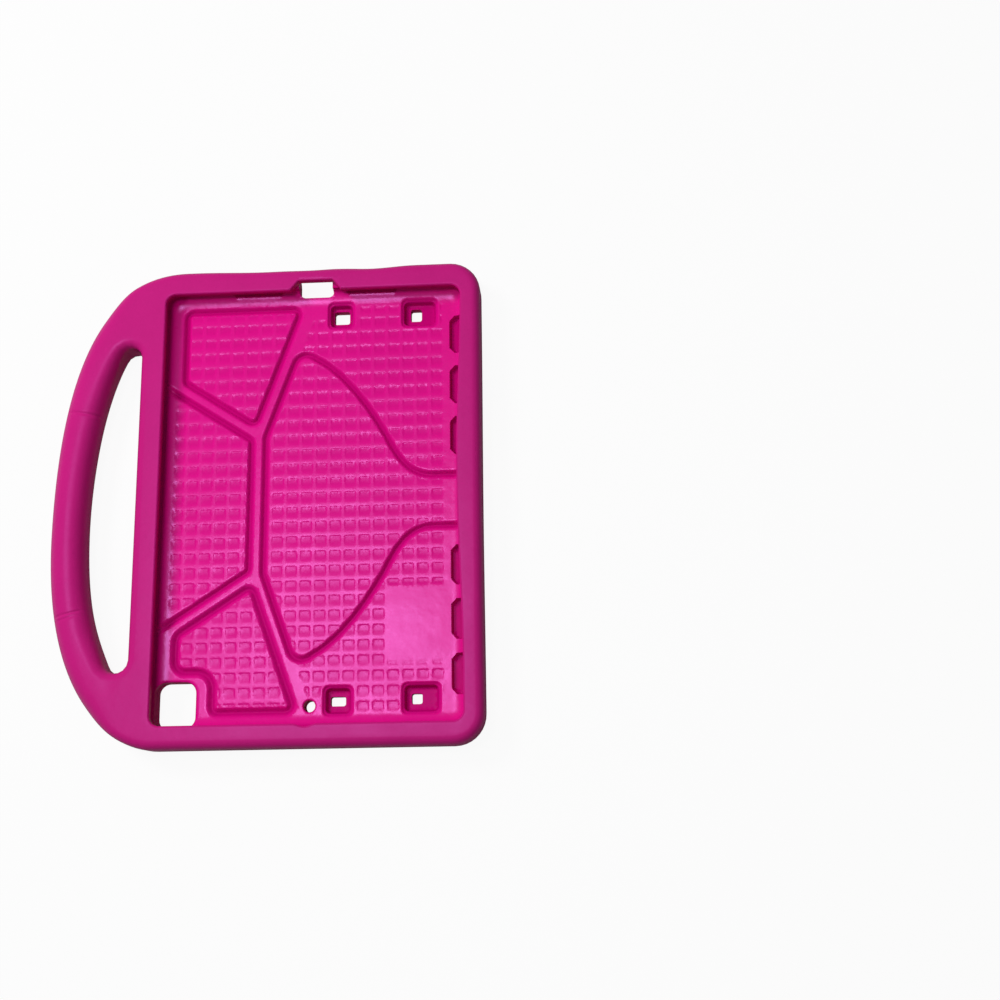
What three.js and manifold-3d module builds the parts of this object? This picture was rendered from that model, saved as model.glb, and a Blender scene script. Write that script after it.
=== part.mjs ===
// A child's tablet case with a carrying handle, moulded in one piece of thick, soft foam.
// It lies on its flat back with the pocket for the tablet facing up. Sizes are millimetres:
// X runs away from the handle, Y along the tablet and Z up, out of the pocket's mouth.
// The origin is on the back, under the middle of the tablet.

import * as THREE from 'three';
import { mergeVertices } from 'three/addons/utils/BufferGeometryUtils.js';
import Module from 'manifold-3d';

const wasm = await Module();
wasm.setup();

// The tablet that the pocket holds, and the room around it
const tabletWidth = 174.1;
const tabletLength = 250.6;
const tabletThickness = 7.5;
const tabletCorner = 10;
const tabletSlack = 0.25;
const marginWidth = 9.3; // the floor's edge curves up to meet the tablet's tapered back
const marginHeight = 5.2;

// The foam around it; the rails are measured from the lip's edge to the outside
const floorThickness = 10;
const lipThickness = 4.5;
const lipOverhang = 2.6;
const lipCorner = 5.6;
const lipEdge = 0.8;
const railRight = 11.2;
const railLeft = 13.9;
const railTop = 14.1;
const railBottom = 12.6;
const outerCorner = 17;
const edgeRound = 5;

// The soft rails have given a little: how deep, where along the rail, and how far it reaches
const rightLipBow = { depth: 2.8, at: 15, reach: 115 };
const rightRailBow = { depth: 0.3, at: -10, reach: 110 };
const topSags = [
  { depth: 1.2, at: 33, reach: 26 },
  { depth: 0.7, at: 2, reach: 24 },
  { depth: 0.9, at: -28, reach: 40 },
];

// The handle, an arch out of the left rail: a round bar that flattens into two shoulders
const handleReach = 48.5;
const gripWidth = 20.3;
const gripCrest = 1.2; // the narrow flat along the top of the bar
const gripMiddle = -15.4; // the arch's widest place, a little towards the bottom
const topShoulder = { start: 25.5, level: 55, rise: 91 };
const bottomShoulder = { start: 14.5, level: 11, rise: 106.5 };
const roundingRun = 20; // over this distance the edge grows from the rail's to the grip's
const holeMiddle = -10.6;
const holeTop = { fromOutside: 44.3, radius: 6.1, turn: 155, lean: 7.5, drop: 16.3, rise: 43.6 };
const holeBottom = { fromOutside: 41.7, radius: 7.3, turn: 157, lean: 6.2, drop: 16.3, rise: 44.9 };

// Raised ridges cross the floor between square pits
const pitPitch = 8.3;
const pitSize = 6.5;
const pitDepth = 0.8;
const pitSlope = 0.45;
const pitToGroove = 0.2;
const pitToMargin = 3;
const pitToOpening = 0.8;

// Grooves part the pitted fields from smooth bands, which branch like a tree; angles are from X
const grooveWidth = 3.2;
const grooveFloor = 1.2;
const grooveDepth = 2;
const grooveFromSide = 3;
const grooveFromEnd = 0.6;
const bandWidth = 8.2;
const spineAt = -31.4;
const forkAt = 40;
const steepArm = 70;
const flatArm = 33;
const fieldCorner = 3.5;
const tip = { fromEnd: 23, radius: 6 };

// The widest field's edge: it falls from a crest in a round curve and hollows out past the waist
const crest = { x: -8.7, fromEnd: 25, slope: -32, radius: 7, pull: 16 };
const waist = { fromSide: 35, y: 35.2, slope: -63, pullUp: 20, pullDown: 11.5 };
const outlet = { fromSide: 10, y: 14.6, pull: 13 };

// Openings through the floor, and pockets sunk in it; fromWall is measured from the pocket's wall
const cameraWindow = { fromSide: 2.2, fromWall: 1.5, width: 22.5, height: 25.4, radius: 6 };
const cameraBand = 8.8; // between the window and the groove that goes round it
const soundHole = { x: 0, fromWall: 12.6, diameter: 6.5 };
const pocketStep = { width: 1.7, depth: 1.2 };
const pocketDepth = 4.5;
const pocketCorner = 3;
const pockets = [
  { x: 15, fromWall: 14.7, end: 1, width: 15.5, height: 16, hole: { shift: -0.2, width: 9.8, height: 8.6 } },
  { x: 60.4, fromWall: 14.7, end: 1, width: 21, height: 17, hole: { shift: -2.4, width: 7.2, height: 8.2 } },
  { x: 15.6, fromWall: 15.2, end: -1, width: 16.5, height: 16.5, hole: { shift: -0.6, width: 9.4, height: 6 } },
  { x: 61.1, fromWall: 15.8, end: -1, width: 21.4, height: 17, hole: { shift: -2.9, width: 6.8, height: 6.5 } },
];
const bareField = { x: 60, y: -68.5, width: 37, height: 42 }; // a patch that has no pits

// Cuts in the walls under the lip
const sideNotch = { length: 22, pitch: 30, first: 37, count: 3, intoWall: 1.2, sink: 3, chamfer: 3 };
const portWidth = 17.6;
const portRelief = { fromWall: 2.3, corner: 3 }; // the floor is cut away from here to the outside
const portBridge = 9.8; // what is left of the top rail over the port
const portMouth = { inner: 8.6, outer: 15 }; // half widths of the lip's notch
const speakerSlot = { inner: 18, outer: 48, fromWall: 6.5, intoWall: 1.5, slant: 3, aboveFloor: 1.5 };

// What follows from the sizes above
const floorZ = floorThickness;
const shelfZ = floorZ + tabletThickness; // the underside of the lip
const rimZ = shelfZ + lipThickness;
const wallX = tabletWidth / 2 + tabletSlack;
const wallY = tabletLength / 2 + tabletSlack;
const lipX = wallX - lipOverhang;
const lipY = wallY - lipOverhang;
const floorX = wallX - marginWidth;
const floorY = wallY - marginWidth;
const outerRight = lipX + railRight;
const outerLeft = -lipX - railLeft;
const outerTop = lipY + railTop;
const outerBottom = -lipY - railBottom;
const gripOuter = outerLeft - handleReach;
const gripInner = gripOuter + gripWidth;

const clear = 1; // how far a cutter stands out of the surface that it opens
const arcStep = Math.PI / 8;

const vec = (x, y) => new THREE.Vector2(x, y);

// A bump of the given depth that fades out smoothly over its reach
function give({ depth, at, reach }, place) {
  const share = Math.min(1, Math.abs(place - at) / reach);
  return depth * Math.cos(share * Math.PI / 2) ** 2;
}

function solid(geometry) {
  geometry.deleteAttribute('normal');
  geometry.deleteAttribute('uv');
  const merged = mergeVertices(geometry, 1e-4);
  const vertProperties = new Float32Array(merged.attributes.position.array);
  const triVerts = new Uint32Array(merged.index.array);
  return new wasm.Manifold(new wasm.Mesh({ numProp: 3, vertProperties, triVerts }));
}

function indexed(points, index) {
  const geometry = new THREE.BufferGeometry();
  const position = points.flatMap((p) => p.toArray());
  geometry.setAttribute('position', new THREE.Float32BufferAttribute(position, 3));
  geometry.setIndex(index);
  return geometry;
}

// A closed body through rings of equally many points, anticlockwise and from the bottom up
function loft(rings) {
  const count = rings[0].length;
  const index = [];
  for (let level = 0; level < rings.length - 1; level++) {
    for (let i = 0; i < count; i++) {
      const a = level * count + i;
      const b = level * count + (i + 1) % count;
      index.push(a, b, b + count, a, b + count, a + count);
    }
  }
  const last = (rings.length - 1) * count;
  for (const [a, b, c] of THREE.ShapeUtils.triangulateShape(rings[0], [])) {
    index.push(c, b, a);
  }
  for (const [a, b, c] of THREE.ShapeUtils.triangulateShape(rings.at(-1), [])) {
    index.push(last + a, last + b, last + c);
  }
  return solid(indexed(rings.flat(), index));
}

const atHeight = (outline, z) => outline.map((p) => new THREE.Vector3(p.x, p.y, z));

function prism(outline, bottom, top) {
  const shape = new THREE.Shape(outline);
  const geometry = new THREE.ExtrudeGeometry(shape, { depth: top - bottom, bevelEnabled: false });
  geometry.translate(0, 0, bottom);
  return solid(geometry);
}

// Normals to the right of a line, lengthened at its corners so that an offset keeps its width
function normals(line, closed) {
  const count = line.length;
  return line.map((p, i) => {
    const before = closed || i > 0 ? line[(i + count - 1) % count] : undefined;
    const after = closed || i < count - 1 ? line[(i + 1) % count] : undefined;
    const into = (before ? p.clone().sub(before) : after.clone().sub(p)).normalize();
    const onward = (after ? after.clone().sub(p) : p.clone().sub(before)).normalize();
    const along = into.clone().add(onward).normalize();
    return vec(along.y, -along.x).divideScalar(Math.max(0.5, along.dot(into)));
  });
}

// An arc of points about a centre, both ends included
function arc(centre, radius, from, to) {
  const steps = Math.max(2, Math.ceil(Math.abs(to - from) / arcStep - 0.01));
  return Array.from({ length: steps + 1 }, (_, k) => {
    const angle = from + (to - from) * k / steps;
    return vec(centre.x + radius * Math.cos(angle), centre.y + radius * Math.sin(angle));
  });
}

// A line through corner points, each rounded to its radius r; an open line keeps its two ends
function rounded(corners, closed = true) {
  const count = corners.length;
  return corners.flatMap(({ x, y, r }, i) => {
    const here = vec(x, y);
    if (!r || (!closed && (i === 0 || i === count - 1))) {
      return [here];
    }
    const before = corners[(i + count - 1) % count];
    const after = corners[(i + 1) % count];
    const back = vec(before.x - x, before.y - y).normalize();
    const onward = vec(after.x - x, after.y - y).normalize();
    const half = Math.acos(THREE.MathUtils.clamp(back.dot(onward), -1, 1)) / 2;
    const toCentre = back.clone().add(onward).normalize().multiplyScalar(r / Math.sin(half));
    const centre = here.clone().add(toCentre);
    const from = here.clone().addScaledVector(back, r / Math.tan(half)).sub(centre).angle();
    const turn = Math.sign(onward.cross(back)) * (Math.PI - 2 * half);
    return arc(centre, r, from, from + turn);
  });
}

const box = (left, right, bottom, top) => [
  { x: left, y: bottom }, { x: right, y: bottom }, { x: right, y: top }, { x: left, y: top }];
const roundedBox = (left, right, bottom, top, r) =>
  rounded(box(left, right, bottom, top).map((point) => ({ ...point, r })));
const centredBox = (x, y, width, height, r) =>
  roundedBox(x - width / 2, x + width / 2, y - height / 2, y + height / 2, r);

const bezier = (points, steps) => new THREE.CubicBezierCurve(...points).getPoints(steps);

// Evenly spaced places strictly between two ends
const between = (from, to, count) =>
  Array.from({ length: count }, (_, k) => from + (to - from) * (k + 1) / (count + 1));

// The whole outline, anticlockwise: rails on three sides and the handle's arch on the fourth
function outerOutline() {
  const archTop = vec(outerLeft + topShoulder.start, outerTop);
  const archBottom = vec(outerLeft + bottomShoulder.start, outerBottom);
  const farthest = vec(gripOuter, gripMiddle);
  const cornerX = outerRight - outerCorner;
  const rightSide = between(outerBottom + outerCorner, outerTop - outerCorner, 6);
  const topSide = between(cornerX, archTop.x, 11);
  const outline = [
    ...arc(vec(cornerX, outerBottom + outerCorner), outerCorner, -Math.PI / 2, 0),
    ...rightSide.map((y) => vec(outerRight, y)),
    ...arc(vec(cornerX, outerTop - outerCorner), outerCorner, 0, Math.PI / 2),
    ...topSide.map((x) => vec(x, outerTop)),
    ...bezier([archTop, vec(archTop.x - topShoulder.level, outerTop),
      vec(gripOuter, gripMiddle + topShoulder.rise), farthest], 14),
    ...bezier([farthest, vec(gripOuter, gripMiddle - bottomShoulder.rise),
      vec(archBottom.x - bottomShoulder.level, outerBottom), archBottom], 14).slice(1),
  ];
  const nearness = (place, edge) => Math.max(0, place / edge) ** 8;
  return outline.map(({ x, y }) => {
    const sag = topSags.reduce((sum, dip) => sum + give(dip, x), 0);
    return vec(x - give(rightRailBow, y) * nearness(x, outerRight), y - sag * nearness(y, outerTop));
  });
}

// The opening for the hand, anticlockwise: straight along the rail and curved along the grip
function handOutline() {
  const topEnd = outerTop - holeTop.fromOutside;
  const bottomEnd = outerBottom + holeBottom.fromOutside;
  const topCentre = vec(outerLeft - holeTop.radius, topEnd - holeTop.radius);
  const bottomCentre = vec(outerLeft - holeBottom.radius, bottomEnd + holeBottom.radius);
  const topArc = arc(topCentre, holeTop.radius, 0, THREE.MathUtils.degToRad(holeTop.turn));
  const bottomArc = arc(bottomCentre, holeBottom.radius, -THREE.MathUtils.degToRad(holeBottom.turn), 0);
  const middle = vec(gripInner, holeMiddle);
  const upper = topArc.at(-1);
  const lower = bottomArc[0];
  return [
    ...topArc,
    ...bezier([upper, vec(upper.x - holeTop.lean, upper.y - holeTop.drop),
      vec(gripInner, holeMiddle + holeTop.rise), middle], 9).slice(1),
    ...bezier([middle, vec(gripInner, holeMiddle - holeBottom.rise),
      vec(lower.x - holeBottom.lean, lower.y + holeBottom.drop), lower], 8).slice(1, -1),
    ...bottomArc,
  ];
}

// How far an edge is rounded, across and in height: more on the grip than on the rails
function rounding(p) {
  const share = THREE.MathUtils.smoothstep(outerLeft - p.x, edgeRound, edgeRound + roundingRun);
  return {
    across: THREE.MathUtils.lerp(edgeRound, (gripWidth - gripCrest) / 2, share),
    height: THREE.MathUtils.lerp(edgeRound, rimZ / 2, share),
  };
}

// Rings of a quarter round at the bottom and one at the top; side is 1 for an outline, -1 for a hole
function roundedRings(outline, side) {
  const quarter = [0, 1, 2, 3].map((k) => k * Math.PI / 6);
  const directions = normals(outline, true);
  const ring = (angle, isTop) => outline.map((p, i) => {
    const { across, height } = rounding(p);
    const inset = -side * across * (1 - Math.cos(angle));
    const rise = height * (1 - Math.sin(angle));
    const moved = p.clone().addScaledVector(directions[i], inset);
    return new THREE.Vector3(moved.x, moved.y, isTop ? rimZ - rise : rise);
  });
  return [
    ...quarter.toReversed().map((angle) => ring(angle, false)),
    ...quarter.map((angle) => ring(angle, true)),
  ];
}

function foamBlank() {
  const opening = roundedRings(handOutline(), -1);
  const hand = loft([
    atHeight(opening[0], -clear), ...opening, atHeight(opening.at(-1), rimZ + clear)]);
  return loft(roundedRings(outerOutline(), 1)).subtract(hand);
}

// A rounded rectangle with extra points along its right side, which may bow in
function roomRing(outward, r, z, bow = { depth: 0, at: 0, reach: 1 }) {
  const x = floorX + outward;
  const y = floorY + outward;
  const outline = [
    ...arc(vec(x - r, r - y), r, -Math.PI / 2, 0),
    ...between(r - y, y - r, 7).map((place) => vec(x - give(bow, place), place)),
    ...arc(vec(x - r, y - r), r, 0, Math.PI / 2),
    ...arc(vec(r - x, y - r), r, Math.PI / 2, Math.PI),
    ...arc(vec(r - x, r - y), r, Math.PI, Math.PI * 1.5),
  ];
  return atHeight(outline, z);
}

// The height that the curved margin has gained at a distance outside the flat floor
function marginRise(outward) {
  const angle = Math.asin(THREE.MathUtils.clamp(outward / marginWidth, 0, 1));
  return marginHeight * (1 - Math.cos(angle));
}

// The room for the tablet: the flat floor, its margin, the wall and the mouth through the lip
function tabletRoom() {
  const margin = [0, 0.45, 0.8, 0.96, 1].map((share) => {
    const outward = share * marginWidth;
    const r = THREE.MathUtils.lerp(fieldCorner, tabletCorner, share);
    return roomRing(outward, r, floorZ + marginRise(outward));
  });
  const mouth = marginWidth - lipOverhang;
  return loft([
    ...margin,
    roomRing(marginWidth, tabletCorner, shelfZ),
    roomRing(mouth, lipCorner, shelfZ, rightLipBow),
    roomRing(mouth, lipCorner, rimZ - lipEdge, rightLipBow),
    roomRing(mouth + lipEdge, lipCorner + lipEdge, rimZ, rightLipBow),
    roomRing(mouth + lipEdge, lipCorner + lipEdge, rimZ + clear, rightLipBow),
  ]);
}

// A line through a point, moved aside to its left by the given distance
function lineThrough(point, degrees, aside = 0) {
  const angle = THREE.MathUtils.degToRad(degrees);
  const direction = vec(Math.cos(angle), Math.sin(angle));
  const start = vec(point.x - direction.y * aside, point.y + direction.x * aside);
  return { start, direction, at: (run) => start.clone().addScaledVector(direction, run) };
}

function crossing(first, second) {
  const gap = second.start.clone().sub(first.start);
  return first.at(gap.cross(second.direction) / first.direction.cross(second.direction));
}

// The straight groove lines of the upper half; the lower half mirrors them
const fork = vec(spineAt, forkAt);
const lines = {
  side: lineThrough(vec(grooveFromSide - floorX, 0), 90),
  end: lineThrough(vec(0, floorY - grooveFromEnd), 0),
  wall: lineThrough(vec(-wallX, 0), 90),
  spineLeft: lineThrough(vec(spineAt, 0), 90, bandWidth / 2),
  spineRight: lineThrough(vec(spineAt, 0), 90, -bandWidth / 2),
  steepLeft: lineThrough(fork, steepArm, bandWidth / 2),
  steepRight: lineThrough(fork, steepArm, -bandWidth / 2),
  flatAbove: lineThrough(fork, 180 - flatArm, -bandWidth / 2),
  flatBelow: lineThrough(fork, 180 - flatArm, bandWidth / 2),
};

const corner = (point, r = 0) => ({ x: point.x, y: point.y, r });
const meeting = (first, second, r) => corner(crossing(lines[first], lines[second]), r);
const mirrored = (corners) => corners.map(({ x, y, r }) => ({ x, y: -y, r })).reverse();

// Top left: a field with its groove on all four sides
function topField() {
  return rounded([
    meeting('steepLeft', 'flatAbove', fieldCorner),
    meeting('steepLeft', 'end', fieldCorner),
    meeting('side', 'end', fieldCorner),
    meeting('side', 'flatAbove', fieldCorner),
  ]);
}

// Middle left: a field that runs out under the left lip
function sideField() {
  const upper = [
    meeting('spineLeft', 'flatBelow', fieldCorner),
    meeting('side', 'flatBelow'),
    meeting('wall', 'flatBelow'),
  ];
  return rounded([...mirrored(upper), ...upper], false);
}

const windowLeft = cameraWindow.fromSide - wallX;
const windowRight = windowLeft + cameraWindow.width;

// Bottom left: as at the top, with its outer corner cut back round the camera's window
function bottomField() {
  const turn = windowRight + cameraBand;
  const tipY = tip.fromEnd - floorY;
  return rounded([
    ...mirrored([
      meeting('steepLeft', 'end', fieldCorner),
      meeting('steepLeft', 'flatAbove', fieldCorner),
      meeting('side', 'flatAbove', tip.radius),
    ]).reverse(),
    corner(vec(lines.side.start.x, tipY), tip.radius),
    corner(vec(turn, tipY), tip.radius + grooveWidth),
    corner(vec(turn, grooveFromEnd - floorY), fieldCorner),
  ]);
}

// Middle and right: the widest field, which narrows in two curves and runs out under the right lip
function wideField() {
  const fall = lineThrough(vec(crest.x, floorY - crest.fromEnd), crest.slope);
  const narrowing = lineThrough(vec(floorX - waist.fromSide, waist.y), waist.slope);
  const end = vec(floorX - outlet.fromSide, outlet.y);
  const upper = [
    ...rounded([
      corner(lines.spineRight.start),
      meeting('spineRight', 'steepRight', fieldCorner),
      corner(crossing(lines.steepRight, fall), crest.radius),
      corner(fall.at(crest.pull)),
    ], false).slice(1, -1),
    ...bezier([fall.at(crest.pull), fall.at(2 * crest.pull), narrowing.at(-waist.pullUp),
      narrowing.start], 7),
    ...bezier([narrowing.start, narrowing.at(waist.pullDown), vec(end.x - outlet.pull, end.y),
      end], 6).slice(1),
    vec(floorX, outlet.y),
    vec(floorX + marginWidth * 0.5, outlet.y),
    vec(floorX + marginWidth * 0.9, outlet.y),
  ];
  return [...upper.map(({ x, y }) => vec(x, -y)).reverse(), ...upper];
}

// The cutter of a groove: its section carried along the line, and closed in a loop or at both ends
function groove({ line, closed }) {
  const directions = normals(line, closed);
  const spread = (grooveWidth - grooveFloor) / 2 * clear / grooveDepth;
  const section = [
    [-grooveWidth / 2 - spread, clear],
    [grooveWidth / 2 + spread, clear],
    [grooveFloor / 2, -grooveDepth],
    [-grooveFloor / 2, -grooveDepth],
  ];
  const points = line.flatMap((p, i) => section.map(([aside, up]) => {
    const moved = p.clone().addScaledVector(directions[i], aside);
    const outward = Math.max(Math.abs(p.x) - floorX, Math.abs(p.y) - floorY);
    return new THREE.Vector3(moved.x, moved.y, floorZ + marginRise(outward) + up);
  }));
  const sides = section.length;
  const stretches = closed ? line.length : line.length - 1;
  const index = [];
  for (let stretch = 0; stretch < stretches; stretch++) {
    for (let k = 0; k < sides; k++) {
      const a = stretch * sides + k;
      const b = stretch * sides + (k + 1) % sides;
      const c = (b + sides) % points.length;
      const d = (a + sides) % points.length;
      index.push(a, b, d, b, c, d);
    }
  }
  if (!closed) {
    const last = stretches * sides;
    index.push(0, 2, 1, 0, 3, 2, last, last + 1, last + 2, last, last + 2, last + 3);
  }
  return solid(indexed(points, index));
}

const grooves = [
  { line: topField(), closed: true },
  { line: sideField(), closed: false },
  { line: bottomField(), closed: true },
  { line: wideField(), closed: false },
];

const pocketY = ({ fromWall, end }) => end * (wallY - fromWall);
const soundHoleY = soundHole.fromWall - wallY;

// The middles of the whole pits that keep clear of grooves, pockets, holes and the bare field
function pitPlaces() {
  const keepOut = [
    ...pockets.map((pocket) => ({ ...pocket, y: pocketY(pocket) })),
    { x: soundHole.x, y: soundHoleY, width: soundHole.diameter, height: soundHole.diameter },
    { x: (windowLeft + windowRight) / 2, y: -wallY, width: cameraWindow.width + 2 * cameraBand,
      height: 2 * (cameraWindow.height + cameraBand) },
    { x: 0, y: wallY, width: 2 * portMouth.inner, height: 2 * (marginWidth + pitSize) },
    bareField,
  ];
  const outOfBoxes = (x, y) => keepOut.every((area) =>
    Math.abs(x - area.x) > (area.width + pitSize) / 2 + pitToOpening
    || Math.abs(y - area.y) > (area.height + pitSize) / 2 + pitToOpening);
  const stretches = grooves.flatMap(({ line, closed }) =>
    line.slice(closed ? 0 : 1).map((p, i) => [line[closed ? (i + line.length - 1) % line.length : i], p]));
  const reach = grooveWidth / 2 + pitToGroove;
  const offGrooves = (x, y) => stretches.every(([from, to]) => {
    const run = to.clone().sub(from);
    const place = vec(x, y).sub(from);
    const share = THREE.MathUtils.clamp(place.dot(run) / run.lengthSq(), 0, 1);
    const away = place.addScaledVector(run, -share);
    const square = (Math.abs(away.x) + Math.abs(away.y)) / (away.length() || 1);
    return away.length() > reach + pitSize / 2 * square;
  });
  const columns = Math.floor((floorX - pitToMargin / 2 - pitSize / 2) / pitPitch + 0.5);
  const rows = Math.floor((floorY + pitToMargin / 2 - pitSize / 2) / pitPitch + 0.5);
  const places = [];
  for (let column = -columns; column < columns; column++) {
    for (let row = -rows; row < rows; row++) {
      const x = (column + 0.5) * pitPitch;
      const y = (row + 0.5) * pitPitch;
      if (outOfBoxes(x, y) && offGrooves(x, y)) {
        places.push(vec(x, y));
      }
    }
  }
  return places;
}

// All the pits as one cutter of four-sided stumps that widen upwards
function pitCutter() {
  const stump = (x, y) => {
    const depth = pitDepth + clear;
    const top = (pitSize / 2 + pitSlope * clear / pitDepth) * Math.SQRT2;
    const bottom = (pitSize / 2 - pitSlope) * Math.SQRT2;
    const geometry = new THREE.CylinderGeometry(top, bottom, depth, 4);
    geometry.rotateY(Math.PI / 4);
    geometry.rotateX(Math.PI / 2);
    geometry.translate(x, y, floorZ - pitDepth + depth / 2);
    return solid(geometry);
  };
  return wasm.Manifold.union(pitPlaces().map(({ x, y }) => stump(x, y)));
}

// A stepped pocket for a stand's foot, with its hole through to the back
function pocketCutters(pocket) {
  const { x, width, height, hole } = pocket;
  const y = pocketY(pocket);
  const top = floorZ + marginHeight;
  const inner = centredBox(x, y, width - 2 * pocketStep.width, height - 2 * pocketStep.width,
    pocketCorner - pocketStep.width / 2);
  return [
    prism(centredBox(x, y, width, height, pocketCorner), floorZ - pocketStep.depth, top),
    prism(inner, floorZ - pocketDepth, floorZ),
    prism(centredBox(x + hole.shift, y, hole.width, hole.height, pocketStep.width), -clear, floorZ),
  ];
}

function throughCutters() {
  const window = roundedBox(windowLeft, windowRight, cameraWindow.fromWall - wallY,
    cameraWindow.fromWall - wallY + cameraWindow.height, cameraWindow.radius);
  const sound = arc(vec(soundHole.x, soundHoleY), soundHole.diameter / 2, 0, Math.PI * 2).slice(1);
  return [prism(window, -clear, shelfZ), prism(sound, -clear, floorZ + clear)];
}

// Six notches under the right lip, three to each half, with chamfered ends
function notchCutters() {
  const { length, pitch, first, count, intoWall, sink, chamfer } = sideNotch;
  const outline = (y) => [
    vec(floorX, y - length / 2 + chamfer),
    vec(floorX + chamfer, y - length / 2),
    vec(wallX + intoWall, y - length / 2),
    vec(wallX + intoWall, y + length / 2),
    vec(floorX + chamfer, y + length / 2),
    vec(floorX, y + length / 2 - chamfer),
  ];
  const places = Array.from({ length: count }, (_, k) => first + k * pitch);
  return places.flatMap((y) => [y, -y]).map((y) => prism(outline(y), floorZ - sink, shelfZ));
}

// The charging port: a tunnel through the top wall, open at the back, and a notch in the lip above
function portCutters() {
  const outside = outerTop + clear;
  const bridgeEdge = outerTop - portBridge;
  const tunnel = box(-portWidth / 2, portWidth / 2, floorY, outside).map(({ x, y }) => vec(x, y));
  const reliefStart = wallY - portRelief.fromWall;
  const relief = rounded([
    { x: -portWidth / 2, y: reliefStart, r: portRelief.corner },
    { x: portWidth / 2, y: reliefStart, r: portRelief.corner },
    { x: portWidth / 2, y: outside },
    { x: -portWidth / 2, y: outside },
  ]);
  const mouth = [
    vec(-portMouth.outer, lipY - clear),
    vec(portMouth.outer, lipY - clear),
    vec(portMouth.outer, lipY),
    vec(portMouth.inner, bridgeEdge),
    vec(-portMouth.inner, bridgeEdge),
    vec(-portMouth.outer, lipY),
  ];
  return [
    prism(tunnel, floorZ + marginHeight / 4, shelfZ),
    prism(relief, -clear, shelfZ),
    prism(mouth, shelfZ - clear, rimZ + clear),
  ];
}

// Two long slots in the top wall beside the port, for the sound
function speakerCutters() {
  const { inner, outer, fromWall, intoWall, slant, aboveFloor } = speakerSlot;
  return [-1, 1].map((side) => {
    const outline = [
      vec(inner + slant, wallY - fromWall),
      vec(outer - slant, wallY - fromWall),
      vec(outer, wallY + intoWall),
      vec(inner, wallY + intoWall),
    ].map(({ x, y }) => vec(side * x, y));
    return prism(side > 0 ? outline : outline.reverse(), floorZ + aboveFloor, shelfZ);
  });
}

function tabletCase() {
  const cutters = [
    tabletRoom(),
    ...grooves.map(groove),
    pitCutter(),
    ...pockets.flatMap(pocketCutters),
    ...throughCutters(),
    ...notchCutters(),
    ...portCutters(),
    ...speakerCutters(),
  ];
  return foamBlank().subtract(wasm.Manifold.union(cutters));
}

const { vertProperties, triVerts } = tabletCase().getMesh();
const geometry = new THREE.BufferGeometry();
geometry.setAttribute('position', new THREE.BufferAttribute(new Float32Array(vertProperties), 3));
geometry.setIndex(new THREE.BufferAttribute(new Uint32Array(triVerts), 1));
geometry.computeVertexNormals();

const foam = new THREE.MeshStandardMaterial({ color: 0xd41c83, roughness: 0.55, metalness: 0 });
const tabletCaseMesh = new THREE.Mesh(geometry, foam);
tabletCaseMesh.name = 'case';

const part = new THREE.Group();
part.add(tabletCaseMesh);

export default part;
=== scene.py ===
import math

import bpy
import numpy as np
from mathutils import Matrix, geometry


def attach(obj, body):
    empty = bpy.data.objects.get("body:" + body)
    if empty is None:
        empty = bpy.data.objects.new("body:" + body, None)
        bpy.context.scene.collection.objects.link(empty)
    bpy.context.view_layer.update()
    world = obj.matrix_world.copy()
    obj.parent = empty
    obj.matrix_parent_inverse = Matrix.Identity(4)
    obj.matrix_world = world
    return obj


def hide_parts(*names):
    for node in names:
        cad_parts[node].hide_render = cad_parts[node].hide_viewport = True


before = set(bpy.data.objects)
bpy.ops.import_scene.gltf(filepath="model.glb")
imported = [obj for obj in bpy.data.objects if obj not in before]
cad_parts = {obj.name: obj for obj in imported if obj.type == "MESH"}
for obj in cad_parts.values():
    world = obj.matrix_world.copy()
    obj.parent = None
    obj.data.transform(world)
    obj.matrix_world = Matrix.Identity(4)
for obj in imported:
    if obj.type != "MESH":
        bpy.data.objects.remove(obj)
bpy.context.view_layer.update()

print("frame loaded")

# Lengths are millimetres until a mesh is made: X away from the handle, Y along the tablet, Z up.
room = {
    "wallX": 87.3, "wallY": 125.55, "wallCorner": 10.3,  # the wall round the tablet
    "floorZ": 10, "shelfZ": 17.5, "rimZ": 22,
    "marginWidth": 9.3, "marginHeight": 5.2,             # the floor curves up at its edge
    "marginRows": (0, 0.13, 0.26, 0.4, 0.53, 0.65, 0.76, 0.85, 0.92, 0.965),
    "grooveFade": (5.5, 8.6),                            # grooves run out on the margin
    "lipOver": 2.6, "lipCorner": 5.6, "lipRound": 1.2,
    "lipEdge": ((0.5, 0), (0.12, 0.16), (0, 0.5), (0, 1.8)),  # rows of its lower edge: out, up
    "bow": (2.8, 15, 115),                               # the right lip leans in: depth, at, reach
    "dent": (1.5, -0.5, 7),                              # the lower lip gives way at the sound hole
    "straightX": 76.5, "straightY": 114.5, "step": 2.4,  # half of each side's straight run
}
floorX = room["wallX"] - room["marginWidth"]
floorY = room["wallY"] - room["marginWidth"]
lipY = room["wallY"] - room["lipOver"]
rimZ = room["rimZ"]


# 0 up to a, 1 from b on, and 3t2 - 2t3 between
def ease(x, a, b):
    t = np.clip((x - a) / (b - a), 0, 1)
    return t * t * (3 - 2 * t)


# A bump of the given depth, squared cosine of the way out to its reach
def give(place, depth, at, reach):
    share = np.minimum(1, np.abs(place - at) / reach)
    return depth * np.cos(share * np.pi / 2) ** 2


# Distance to a box with round corners, negative inside it
def boxDistance(p, x, y, halfX, halfY, r):
    qx = np.abs(p[:, 0] - x) - halfX + r
    qy = np.abs(p[:, 1] - y) - halfY + r
    outside = np.hypot(np.maximum(qx, 0), np.maximum(qy, 0))
    return outside + np.minimum(np.maximum(qx, qy), 0) - r


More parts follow.
